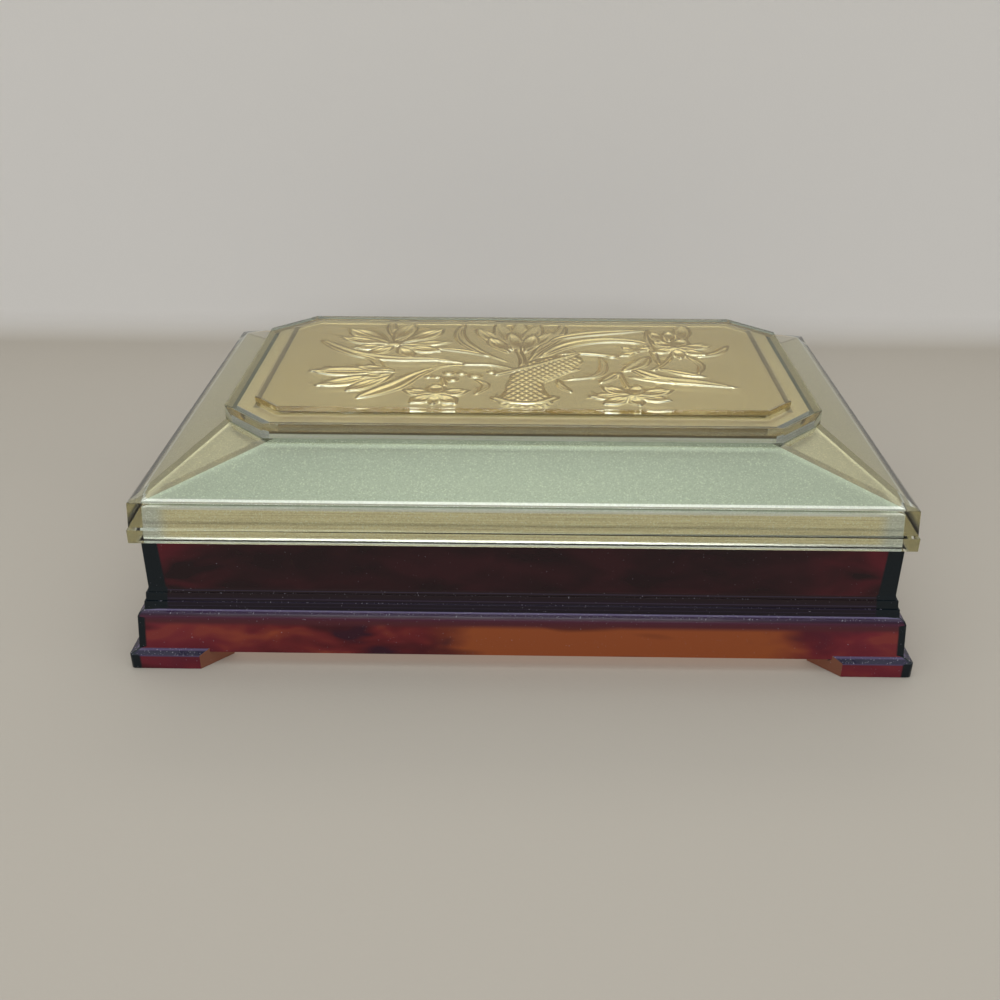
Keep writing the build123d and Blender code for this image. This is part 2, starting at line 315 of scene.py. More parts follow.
def makeGold(name, s):
    material, add = newMaterial(name)
    coords = add("TexCoord")
    normal, place = coords.outputs["Normal"], coords.outputs["Object"]
    height = add("SeparateXYZ", {"Vector": place}).outputs["Z"]
    beside = add("SeparateXYZ", {
        "Vector": add("VectorMath", {0: place}, operation="ABSOLUTE").outputs[0]})
    facing = add("SeparateXYZ", {
        "Vector": add("VectorMath", {0: normal}, operation="ABSOLUTE").outputs[0]})
    steep = add("Math", {0: facing.outputs["Z"], 1: 0.3}, operation="LESS_THAN").outputs[0]
    # which way the face looks on the lid itself: 0 an end wall, 0.3 an end slope, 0.5 level or at a corner,
    # 0.7 the front or rear slope, 1 the front or rear wall
    lean = add("Math", {0: facing.outputs["Y"], 1: facing.outputs["X"]}, operation="SUBTRACT")
    lean = add("MapRange", {"Value": lean.outputs[0], "From Min": -1.0}).outputs["Result"]

    # level faces and slopes: the lacquer's gold, shifted by the way each face looks as a painted reflection of the room
    flat, front, end = (linear(s[part]) for part in ("flat", "front", "end"))
    colour = add("ValToRGB", {"Fac": lean}, stops=[
        (0.25, end), (0.32, end), (0.46, flat), (0.54, flat), (0.66, front), (0.75, front)]).outputs["Color"]
    tilted = add("MapRange", {
        "Value": facing.outputs["Z"], "From Min": 0.99, "From Max": 0.975}).outputs["Result"]
    facet = add("MapRange", {"Value": lean, "From Min": 0.56, "From Max": 0.52}).outputs["Result"]
    facet = add("Math", {0: facet, 1: tilted}, operation="MULTIPLY").outputs[0]
    back = add("SeparateXYZ", {"Vector": normal}).outputs["Y"]
    back = add("MapRange", {"Value": back, "From Min": 0.12, "From Max": 0.25}).outputs["Result"]
    for share, part in ((facet, "facet"), (back, "rear")):
        colour = add("Mix", {"Factor": share, "A": colour, "B": linear(s[part])}, data_type="RGBA").outputs[2]
    # painted shade: a dark line at each end of the recess, where the coat turns up into it
    level = add("Math", {0: facing.outputs["Z"], 1: 0.99}, operation="GREATER_THAN").outputs[0]
    inside = add("Math", {0: beside.outputs["Y"], 1: s["shadeLineReach"] * mm}, operation="LESS_THAN").outputs[0]
    shadeLine = add("Math", {
        0: beside.outputs["X"], 1: (s["shadeLine"] + s["shadeLineWidth"] / 2) * mm, 2: s["shadeLineWidth"] / 2 * mm},
        operation="COMPARE").outputs[0]
    shadeLine = add("Math", {0: shadeLine, 1: inside}, operation="MULTIPLY").outputs[0]
    shadeLine = add("Math", {0: shadeLine, 1: level}, operation="MULTIPLY").outputs[0]
    shadeLine = add("MapRange", {"Value": shadeLine, "To Min": 1.0, "To Max": s["shadeLineFactor"]}).outputs["Result"]
    colour = add("VectorMath", {0: colour, "Scale": shadeLine}, operation="SCALE").outputs[0]
    # a painted highlight line along the foot of the slopes
    kneeHighlight = add("MapRange", {
        "Value": height, "From Min": (s["kneeHighlightHeight"] + s["kneeHighlightBlend"]) * mm,
        "From Max": s["kneeHighlightHeight"] * mm}).outputs["Result"]
    # painted shade along the top of the slopes, in the crease under the panel's step
    creaseShade = add("Math", {
        0: height, 1: s["creaseShadeHeight"] * mm, 2: s["creaseShadeReach"] * mm}, operation="COMPARE").outputs[0]
    for share, part in ((kneeHighlight, "kneeHighlight"), (creaseShade, "creaseShade")):
        colour = add("Mix", {"Factor": share, "A": colour, "B": linear(s[part])}, data_type="RGBA").outputs[2]

    # upright faces: a ramp over 35 to 60 mm of height of painted highlights and shade, changed near the front's ends
    # and at the corners by painted reflection
    rampFrom, rampTo = 35, 60
    up = add("MapRange", {
        "Value": height, "From Min": rampFrom * mm, "From Max": rampTo * mm}).outputs["Result"]
    upright = add("ValToRGB", {"Fac": up}, stops=[
        ((level - rampFrom) / (rampTo - rampFrom), linear(tone)) for level, tone in s["uprights"]]).outputs["Color"]
    fade = add("MapRange", {
        "Value": beside.outputs["X"], "From Min": s["fadeStart"] * mm, "From Max": s["fadeEnd"] * mm},
        interpolation_type="SMOOTHSTEP").outputs["Result"]
    ahead = add("Math", {0: lean, 1: 0.85}, operation="GREATER_THAN").outputs[0]
    fade = add("Math", {0: fade, 1: ahead}, operation="MULTIPLY").outputs[0]
    corner = add("Math", {0: lean, 1: 0.5, 2: 0.2}, operation="COMPARE").outputs[0]
    turned = add("MapRange", {
        "Value": beside.outputs["Y"], "From Min": s["turnStart"] * mm, "From Max": s["turnEnd"] * mm})
    aside = add("Math", {0: lean, 1: 0.15}, operation="LESS_THAN").outputs[0]
    turned = add("Math", {0: turned.outputs["Result"], 1: aside}, operation="MULTIPLY").outputs[0]
    corner = add("Math", {0: corner, 1: turned}, operation="MAXIMUM").outputs[0]
    corner = add("Math", {0: corner, 1: steep}, operation="MULTIPLY").outputs[0]
    for share, part in ((fade, "cornerGlare"), (corner, "corner")):
        upright = add("Mix", {"Factor": share, "A": upright, "B": linear(s[part])}, data_type="RGBA").outputs[2]
    bands = add("Mapping", {"Vector": place, "Scale": (s["streakDraw"], s["streakDraw"], 1)})
    bands = add("TexNoise", {
        "Vector": bands.outputs[0], "Scale": 1 / (s["streakSize"] * mm), "Detail": 1}).outputs["Fac"]
    bands = add("MapRange", {
        "Value": bands, "From Min": 0.3, "From Max": 0.7, "To Min": 1 - s["streak"], "To Max": 1 + s["streak"]})
    upright = add("VectorMath", {0: upright, "Scale": bands.outputs["Result"]}, operation="SCALE").outputs[0]
    colour = add("Mix", {"Factor": steep, "A": colour, "B": upright}, data_type="RGBA").outputs[2]

    # shine
    bright, dull = grey(s["lustre"]), grey(s["slopeLustre"])
    lustre = add("ValToRGB", {"Fac": lean}, stops=[
        (0.12, bright), (0.25, dull), (0.34, dull), (0.44, bright), (0.56, bright), (0.66, dull), (0.75, dull),
        (0.9, grey(s["rimLustre"]))]).outputs["Color"]
    lustre = add("Mix", {"Factor": corner, "A": lustre, "B": s["cornerLustre"]}).outputs[0]
    high = add("Math", {0: height, 1: s["panelFoot"] * mm}, operation="GREATER_THAN").outputs[0]
    high = add("Math", {0: high, 1: steep}, operation="MULTIPLY").outputs[0]
    lustre = add("Mix", {"Factor": high, "A": lustre, "B": s["stepLustre"]}).outputs[0]
    fine, coarse = grey(s["roughness"]), grey(s["slopeRoughness"])
    rough = add("ValToRGB", {"Fac": lean}, stops=[
        (0.58, fine), (0.67, coarse), (0.75, coarse), (0.85, fine)]).outputs["Color"]
    # flakes of random tone, a few of them much brighter as painted glints; the ramp holds half of each level, because
    # it stops at 1
    flakes = add("TexVoronoi", {"Vector": place, "Scale": 1 / (s["flakeSize"] * mm)})
    flake = add("SeparateColor", {"Color": flakes.outputs["Color"]}).outputs["Red"]
    share = s["sparkShare"]
    glint = add("ValToRGB", {"Fac": flake}, stops=[
        (stop, grey(level / 2)) for stop, level in (
            (0, 1 - s["mottle"]), (1 - share, 1 + s["mottle"]), (1 - share / 2, 1 + s["spark"]))]).outputs["Color"]
    glint = add("Math", {0: glint, 1: 2.0}, operation="MULTIPLY").outputs[0]
    colour = add("VectorMath", {0: colour, "Scale": glint}, operation="SCALE").outputs[0]
    colour = add("VectorMath", {0: colour, 1: (1, 1, 1)}, operation="MINIMUM").outputs[0]
    shade = add("BsdfPrincipled", {
        "Base Color": colour, "Metallic": lustre, "Roughness": rough})
    add("OutputMaterial", {"Surface": shade.outputs["BSDF"]})
    return material


clearMaterial = makeClear(clearStyrene)
goldMaterial = makeGold("gold flake lacquer, sprayed", goldLacquer)
reliefMaterial = makeGold("gold flake lacquer, sprayed on the relief", reliefLacquer)

# lid shell: softly rounded at the knee between roof and rim, crisper everywhere else
shellSet = {"kneeRadius": 0.95, "kneeHeight": 45.4, "edgeShare": 0.45, "hipShare": 0.38,
            "lipRange": (36, 41),  # mm, round the foot of the rim, where the shallow lip stays sharp
            "lipHeight": 38.3, "lipInside": (95.6, 63.9), "lipSlant": 0.6}  # mm, its top edge slopes out a little


def makeShell(s):
    shell = copyNode("lid_shell")
    reachX, reachY = s["lipInside"]
    for vertex in shell.data.vertices:
        x, y, z = (abs(c) / mm for c in vertex.co)
        if x < reachX and y < reachY and abs(z - s["lipHeight"]) < 0.05:
            vertex.co.z += s["lipSlant"] * mm
    roundEdges(shell, s["kneeRadius"], segments=4, sharpest=24, hipShare=s["hipShare"], edgeShare=s["edgeShare"],
               kneeHeight=s["kneeHeight"], lipRange=s["lipRange"])
    finishPiece(shell, "lid_shell_moulded", "lid", clearMaterial, smoothAngle=34, weighted=True)
    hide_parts("lid_shell")
    print("lid shell:", len(shell.data.polygons), "faces")


makeShell(shellSet)

# gold coat on the lid's inside, open under the platform where the relief goes
coatSet = {
    "bond": 0.02,  # mm that the lacquer keys into the plastic
    "overspray": 0.2, "lowerEdge": 35.3,  # mm that it runs on down the rim, from the points under this height
    "groundHeight": 56.5, "thickness": 0.2,
}


def makeCoat(s):
    coat = copyNode("lid_gold_coat")
    only(coat)
    bpy.ops.object.mode_set(mode="EDIT")
    bpy.ops.mesh.select_mode(type="FACE")
    bpy.ops.mesh.select_all(action="DESELECT")
    bpy.ops.object.mode_set(mode="OBJECT")
    lowest = (s["groundHeight"] - s["thickness"] - 0.05) * mm
    for face in coat.data.polygons:
        face.select = abs(face.normal.z) > 0.99 and face.center.z > lowest
    bpy.ops.object.mode_set(mode="EDIT")
    bpy.ops.mesh.delete(type="FACE")
    bpy.ops.mesh.select_mode(type="EDGE")
    bpy.ops.mesh.select_all(action="DESELECT")
    bpy.ops.mesh.select_non_manifold()
    bpy.ops.mesh.bridge_edge_loops()
    bpy.ops.mesh.select_all(action="SELECT")
    bpy.ops.transform.shrink_fatten(value=s["bond"] * mm)
    bpy.ops.object.mode_set(mode="OBJECT")
    for vertex in coat.data.vertices:
        if vertex.co.z < s["lowerEdge"] * mm:
            vertex.co.z -= s["overspray"] * mm
    finishPiece(coat, "lid_lacquer", "lid", goldMaterial, smoothAngle=12)
    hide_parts("lid_gold_coat")
    print("lid lacquer:", len(coat.data.polygons), "faces")


makeCoat(coatSet)

# relief under the platform: a basket of flowers, cut into the plastic from below
relief = {
    "width": 137.2, "depth": 67.4, "cornerCut": 5.92,  # mm, the recess it fills
    "spacing": 0.24, "height": 0.7, "soften": 1,
    "sightShift": 1.5,  # the plastic over it makes it look this much nearer the front
    "keep": 0.29,  # share of the faces left after thinning
}
# each leaf: points along its middle, widest width, height, where it is widest
leaves = [
    ([(-60, 16.5), (-53, 9), (-46, 4), (-36, 1.2), (-24, 0.6), (-14, -3)], 4.8, 0.9, 0.35),
    ([(-49, 5), (-43, 1), (-40.5, -4), (-37.5, -10)], 2.8, 0.7, 0.4),
    ([(-13, -3), (-22, -4.5), (-29, -11), (-35, -20), (-44, -29.3)], 6.2, 1.0, 0.72),
    ([(-3, -2), (-11, 6), (-17, 15), (-19, 24), (-17.5, 34)], 3.6, 0.8, 0.6),
    ([(1, -3), (5, 9), (10, 20), (12.3, 28), (12, 33.5)], 4.4, 0.9, 0.65),
    ([(5, 9), (10, 18.5), (16, 22.6), (25, 25.4), (38, 27.5)], 4.6, 0.9, 0.6),
    ([(5, 3), (11, 11.5), (18, 16.6), (27, 18.6), (36, 16), (38, 8)], 5.4, 0.95, 0.45),
    ([(28, -1), (33, -8), (39, -13.4), (48, -15.6), (58.5, -19.5)], 5.2, 0.95, 0.5),
    ([(29, -12), (35, -13.6), (42, -16.6)], 2.8, 0.6, 0.5),
    ([(38, -5), (44, -8.4), (51, -11.5)], 3.2, 0.7, 0.5),
    ([(38.5, 29), (37.4, 18), (38.4, 6), (39, -5)], 2.0, 0.7, 0.5),
    ([(47, 6), (50.5, -2), (48.8, -10)], 2.2, 0.6, 0.5),
    ([(50, 4), (57, 8), (61, 14.5)], 2.8, 0.6, 0.5),
    ([(22.5, 4), (23, -4), (20.5, -11), (11, -15)], 2.4, 0.7, 0.4),
    ([(9.5, -13), (10.6, -19), (13.4, -24)], 2.2, 0.7, 0.6),
    ([(8, -9.4), (16.5, -6)], 2.4, 0.6, 0.5),
    ([(-13.5, -14), (-9.8, -19), (-12.5, -26)], 2.2, 0.7, 0.5),
    ([(-40.5, 34), (-40, 27), (-38.6, 19)], 3.0, 0.8, 0.4),
    ([(-9, 3), (-16, 7.6), (-27, 10.6)], 3.0, 0.8, 0.5),
    ([(36.5, 5), (33.6, -1), (28, -8)], 5.4, 0.7, 0.5),
    ([(27, -8), (24.6, -12), (21, -17)], 3.0, 0.6, 0.5),
]
# each petal: root, tip, widest width, height
petals = [
    ((-40, 15), (-52.5, 27), 8.4, 0.9), ((-38, 16), (-34, 32), 7.0, 0.8), ((-35, 15), (-24.5, 27), 7.4, 0.95),
    ((-39, 13), (-54, 19), 6.0, 0.9), ((-39, 12), (-49, 10), 5.4, 0.75), ((-36, 12), (-24, 7.6), 6.4, 0.95),
    ((-38, 12), (-44, 4.6), 5.2, 0.75), ((-36, 12), (-32, 2.4), 5.4, 0.8), ((-36, 13), (-21.5, 15.5), 4.6, 0.75),
    ((-3, 9), (-13.5, 28), 6.6, 0.9), ((-2.4, 10), (-7.4, 33.5), 6.2, 0.8), ((-1, 10), (-0.6, 34.5), 6.2, 0.85),
    ((0, 10), (5.2, 32), 6.2, 0.8), ((1, 9), (9, 25), 5.4, 0.8), ((-4, 7), (-9.6, 19.5), 5.6, 0.95),
    ((-0.6, 8), (-3.4, 24), 5.4, 0.95), ((1, 8), (3.6, 22.5), 5.4, 0.95),
    ((-36, -9), (-58.6, -9.2), 7.6, 0.9), ((-36, -11), (-55.4, -20), 7.0, 0.85),
    ((-36, -12), (-46.8, -23.6), 6.0, 0.8), ((-36, -8), (-46, -5.4), 4.6, 0.8), ((-37, -11), (-43.6, -13.6), 4.4, 0.95),
]
# each blossom: root, then the tip, widest width and height of its petals
blossoms = [
    ((-23, -25.5), [((-31.2, -23.4), 5.6, 0.9), ((-14.8, -23), 5.6, 0.9), ((-29, -31.6), 5.6, 0.9),
                    ((-17.6, -31.8), 5.6, 0.9), ((-23.2, -18.8), 5.2, 0.9), ((-23.4, -32.4), 4.4, 0.85)]),
    ((29, -25.5), [((18.2, -26.6), 5.4, 0.9), ((21.6, -31.4), 5.2, 0.9), ((30.6, -32), 4.8, 0.85),
                   ((38.8, -28.6), 5.2, 0.9), ((40, -21.4), 5.6, 0.9), ((31.6, -18.8), 4.8, 0.85),
                   ((22, -19.4), 5.2, 0.9)]),
    ((45, 12), [((39.4, 17.6), 5.0, 0.85), ((48.6, 20), 5.2, 0.85), ((55.6, 14), 5.6, 0.85),
                ((53, 6), 5.0, 0.85), ((45.6, 3.6), 4.8, 0.85), ((38.6, 8), 4.8, 0.85)]),
    ((48, 18), [((49.6, 32.6), 5.4, 0.8)]), ((44, 18), [((44.8, 27), 4.0, 0.75)]),
    ((42, 17), [((39.6, 26.4), 4.0, 0.75)]),
    ((33, 8.4), [((28.6, 5), 3.2, 0.8), ((37.2, 12.4), 3.4, 0.85), ((29.6, 12.4), 3.2, 0.8)]),
]
# each bead: place, radius, height
beads = [
    ((-13, -12), 2.0, 0.95), ((-20.4, -10), 1.6, 0.8), ((-16.8, -10), 1.4, 0.75), ((-25.8, -13), 1.1, 0.7),
    ((-23.4, -13), 1.1, 0.7), ((-19, -15), 1.5, 0.8), ((26, 4.8), 1.9, 1.0), ((-38, 13.6), 2.4, 1.0),
    ((-23, -25.5), 1.9, 1.0), ((29, -25.5), 1.9, 1.0), ((45, 12), 1.9, 1.0), ((-8.6, -9), 1.2, 0.7),
    ((33, 8.4), 1.2, 0.9),
]
stems = [
    ([(-1, -8), (-8, -3.4), (-16, -3)], 1.8, 0.7), ([(0, -6), (0, 2), (-1.6, 10)], 1.8, 0.7),
    ([(6, -3), (11, 4.4), (17, 6.8), (22, 6.2), (26, 4.8)], 2.6, 0.9), ([(-22, -14), (-21, -19)], 1.2, 0.6),
    ([(27, -9), (27.6, -14), (28.4, -20)], 1.4, 0.6), ([(45, 9), (41, 0), (37, -6)], 1.5, 0.6),
]
basket = {
    "spine": [(0.8, -29), (0.8, -24), (0.8, -18), (2.2, -13), (6, -6.6), (12.5, 0.6)],
    "halfWidths": [7.4, 5.2, 4.9, 6.6, 7.0, 5.0], "height": 0.85,
    "mouth": [(-7, -10.6), (3, -4), (10, 1.6), (16, 6)], "mouthWidth": 2.0,
    "foot": [(-7, -28), (-3.4, -30.4), (1, -31.2), (5, -30.2), (8.4, -27.4)], "footWidth": 2.8,
    "laceSpacing": 2.3, "laceWidth": 0.75,
}


def curvePoints(points, perSpan=8):
    points = np.array(points, float)
    ends = np.vstack([2 * points[0] - points[1], points, 2 * points[-1] - points[-2]])
    out = []
    for i in range(1, len(ends) - 2):
        a, b, c, d = ends[i - 1:i + 3]
        for t in np.arange(perSpan) / perSpan:
            out.append(0.5 * (2 * b + (c - a) * t + (2 * a - 5 * b + 4 * c - d) * t ** 2
                              + (3 * b - a - 3 * c + d) * t ** 3))
    out.append(ends[-2])
    return np.array(out)


def alongCurve(x, y, curve):
    # for every grid point: distance to the curve, and how far along it, 0 to 1
    best = np.full(x.shape, 1e9)
    along = np.zeros(x.shape)
    runs = np.linalg.norm(np.diff(curve, axis=0), axis=1)
    total = runs.sum()
    start = 0.0
    for (ax, ay), (bx, by), run in zip(curve[:-1], curve[1:], runs):
        px, py, dx, dy = x - ax, y - ay, (bx - ax) / run, (by - ay) / run
        t = np.clip(px * dx + py * dy, 0, run)
        distance = np.hypot(px - t * dx, py - t * dy)
        nearer = distance < best
        best = np.where(nearer, distance, best)
        along = np.where(nearer, (start + t) / total, along)
        start += run
    return best, along


def window(x, y, curve, reach):
    lo, hi = curve.min(0) - reach, curve.max(0) + reach
    rows = np.where((y[:, 0] > lo[1]) & (y[:, 0] < hi[1]))[0]
    cols = np.where((x[0] > lo[0]) & (x[0] < hi[0]))[0]
    return np.s_[rows[0]:rows[-1] + 1, cols[0]:cols[-1] + 1]


def reliefHeights(x, y, s):
    shift = np.array([0, s["sightShift"]])
    ground = np.zeros(x.shape)

    def lay(curve, reach, shape):
        part = window(x, y, curve, reach)
        rise = shape(*alongCurve(x[part], y[part], curve))
        ground[part] = np.maximum(ground[part] * np.where(rise > 0.02, 0.55, 1), rise)

    for points, width, rise, widest in leaves:
        def leafShape(near, along):
            bent = along ** (math.log(0.5) / math.log(widest))
            half = np.maximum(width / 2 * np.sin(np.pi * np.clip(bent, 0.001, 0.999)) ** 0.8, 0.05)
            across = np.clip(near / half, 0, 1)
            crown = np.sqrt(1 - across ** 3) * np.minimum(1, half / (0.22 * width))
            dish = 0.5 * np.exp(-(across / 0.5) ** 2) * np.clip((half - 0.5) / 0.6, 0, 1)
            return rise * np.clip(crown - dish, 0, 1) * (across < 1)
        lay(curvePoints(points) + shift, width, leafShape)
    for points, width, rise in stems:
        def stemShape(near, along):
            return rise * np.sqrt(np.clip(1 - (2 * near / width) ** 2, 0, 1))
        lay(curvePoints(points) + shift, width, stemShape)
    whole = [(root, *petal) for root, around in blossoms for petal in around]
    for root, tip, width, rise in petals + whole:
        def petalShape(near, along):
            half = np.maximum(width / 2 * np.sin(np.pi * np.clip(along, 0.02, 0.98) ** 1.25) ** 0.62, 0.05)
            across = np.clip(near / half, 0, 1)
            crown = np.sqrt(1 - across ** 3.4)
            scoop = 0.68 * np.exp(-(across / 0.58) ** 2 - ((along - 0.6) / 0.3) ** 2)
            rib = 0.22 * np.exp(-(near / 0.3) ** 2)
            return rise * np.clip(crown - scoop + rib, 0, 1) * (across < 1)
        lay(curvePoints([root, tip]) + shift, width, petalShape)

    b = basket
    spine = curvePoints(b["spine"]) + shift
    part = window(x, y, spine, 9)
    gx, gy = x[part], y[part]
    near, along = alongCurve(gx, gy, spine)
    half = np.interp(along, np.linspace(0, 1, len(b["halfWidths"])), b["halfWidths"])
    across = np.clip(near / half, 0, 1)
    body = np.sqrt(1 - across ** 3)
    pitch = b["laceSpacing"]
    lace = np.zeros(gx.shape)
    for slope in (1, -1):
        phase = np.mod((gx + slope * 0.72 * gy) / pitch + 0.5, 1) - 0.5
        lace = np.maximum(lace, np.clip(1 - (np.abs(phase) * 2 * pitch / b["laceWidth"] / 1.6) ** 2, 0, 1))
    woven = b["height"] * body * (0.55 + 0.45 * lace) * (across < 1)
    ground[part] = np.where(across < 1, woven, ground[part])
    for points, width in ((b["mouth"], b["mouthWidth"]), (b["foot"], b["footWidth"])):
        def rimShape(near, along):
            return np.sqrt(np.clip(1 - (2 * near / width) ** 2, 0, 1))
        lay(curvePoints(points) + shift, width, rimShape)
    for place, radius, rise in beads:
        cx, cy = np.array(place) + shift
        dome = rise * np.sqrt(np.clip(1 - ((x - cx) ** 2 + (y - cy) ** 2) / radius ** 2, 0, 1))
        ground = np.maximum(ground, dome)
    for _ in range(s["soften"]):
        padded = np.pad(ground, 1, mode="edge")
        ground = sum(padded[i:i + x.shape[0], j:j + x.shape[1]] for i in range(3) for j in range(3)) / 9
    return ground * s["height"]


def makeRelief(s):
    across, deep = round(s["width"] / s["spacing"]), round(s["depth"] / s["spacing"])
    bpy.ops.object.select_all(action="DESELECT")
    bpy.ops.mesh.primitive_grid_add(x_subdivisions=across, y_subdivisions=deep, size=2)
    sheet = bpy.context.object
    sheet.scale = (s["width"] * mm / 2, s["depth"] * mm / 2, 1)
    bpy.ops.object.transform_apply(location=True, rotation=True, scale=True)
    places = np.zeros(len(sheet.data.vertices) * 3)
    sheet.data.vertices.foreach_get("co", places)
    places = places.reshape(deep + 1, across + 1, 3)
    places[..., 2] = (coatSet["groundHeight"] + coatSet["bond"]
                      + reliefHeights(places[..., 0] / mm, places[..., 1] / mm, s)) * mm
    sheet.data.vertices.foreach_set("co", places.ravel())
    sheet.data.update()
    bpy.ops.object.mode_set(mode="EDIT")
    bpy.ops.mesh.select_mode(type="FACE")
    for sideX in (-1, 1):
        for sideY in (-1, 1):
            bpy.ops.mesh.select_all(action="SELECT")
            corner = Vector((sideX * (s["width"] - s["cornerCut"]) / 2, sideY * (s["depth"] - s["cornerCut"]) / 2,
                             coatSet["groundHeight"])) * mm
            bpy.ops.mesh.bisect(plane_co=corner, plane_no=(sideX, sideY, 0), clear_outer=True)
    bpy.ops.object.mode_set(mode="OBJECT")
    modify(sheet, "DECIMATE", ratio=s["keep"])
    modify(sheet, "SOLIDIFY", thickness=coatSet["thickness"] * mm, offset=-1)
    finishPiece(sheet, "lid_relief", "lid", reliefMaterial, smoothAngle=50, weighted=True)
    sheet.data.update()
    print("relief:", len(sheet.data.polygons), "faces")


makeRelief(relief)

# tray: marbled tortoiseshell styrene, moulded and glossy
tortoiseshell = {
    "dark": "#1f0c12", "wallRed": "#301118", "endRed": "#5a1622",
    # the skirt's marbling, from the dark clouds to the light ones
    "clouds": [(0.34, "#321020"), (0.44, "#52161c"), (0.53, "#641e22"), (0.66, "#843a28")],
    # the last tone here paints orange light on the inner slanted face of each foot
    "amber": "#8c4724", "blush": "#701f30", "streak": "#3a1018", "innerFootLit": "#7c4e3c",
    # up the plinth's steps: height in mm, tone; light grazes each small ledge
    "steps": [(13.0, "#4c2028"), (13.9, "#4a2034"), (14.4, "#341c2c"), (14.8, "#34203a"), (15.08, "#362440"),
              (15.14, "#6a6080"), (15.28, "#6a6080"), (15.36, "#150e1a"), (16.2, "#180f1c"), (16.35, "#2a2234"),
              (16.5, "#180f1c"), (17.2, "#1a111e"), (17.35, "#2a2234"), (17.5, "#1a111e"), (17.95, "#1e121e"),
              (18.1, "#3c3246"), (18.3, "#1e121e"), (19.2, "#1f1118"), (20.05, "#1e1016"), (20.2, "#382e40"),
              (20.4, "#1e0f14")],
    # the ledge on each foot, height in mm, tone: pale lilac painted highlights along its two edges, dark between
    "footLedge": [(3.6, "#4a1c24"), (3.85, "#5a4a6a"), (4.05, "#1c1430"), (4.5, "#1c1430"), (4.72, "#5c4e70"),
                  (4.92, "#2a1428"), (5.3, "#52161c")],
    # the clear thickness of the next wall, seen end on: height and width in mm
    "band": "#06131a", "bandWidths": [(0, 2.8), (4.0, 2.8), (4.2, 0.6), (4.9, 0.6), (5.2, 1.8), (13.6, 1.8),
                                      (13.9, 0.4), (15.2, 0.4), (15.4, 6.2), (20.6, 4.9), (21.2, 4.4), (38, 3.7)],
    "dust": "#9d97a4",
    "profile": [(0, 99.3), (4.0, 99.3), (4.9, 97.1), (13.9, 96.5), (14.8, 96.1), (15.3, 95.2), (17.4, 94.7),
                (19.7, 94.0), (20.9, 93.6), (40, 93.6)],  # height and half width in mm
    "profileTop": 40, "depthLess": 31.7,  # mm, how much less the half depth is than the half width
    "proud": (("X", 97.2), ("Y", 65.5)),  # mm off the middle, past which only the feet stand out
    "shadeFrom": 11.2, "shadeTo": 12.8, "wallFrom": 20.3, "wallTo": 20.9,  # mm up, where one ramp blends to the next
    "glowPlace": 25, "glowOut": 56, "glowIn": 28,  # mm right of the middle, and where the glow fades and is full
    "marbleScale": 62, "streakScale": 44, "speckScale": 2600, "sinkScale": 60,  # per metre: 16, 23, 0.4 and 17 mm
    "roughness": 0.13, "refraction": 1.55, "shine": 0.25,
}


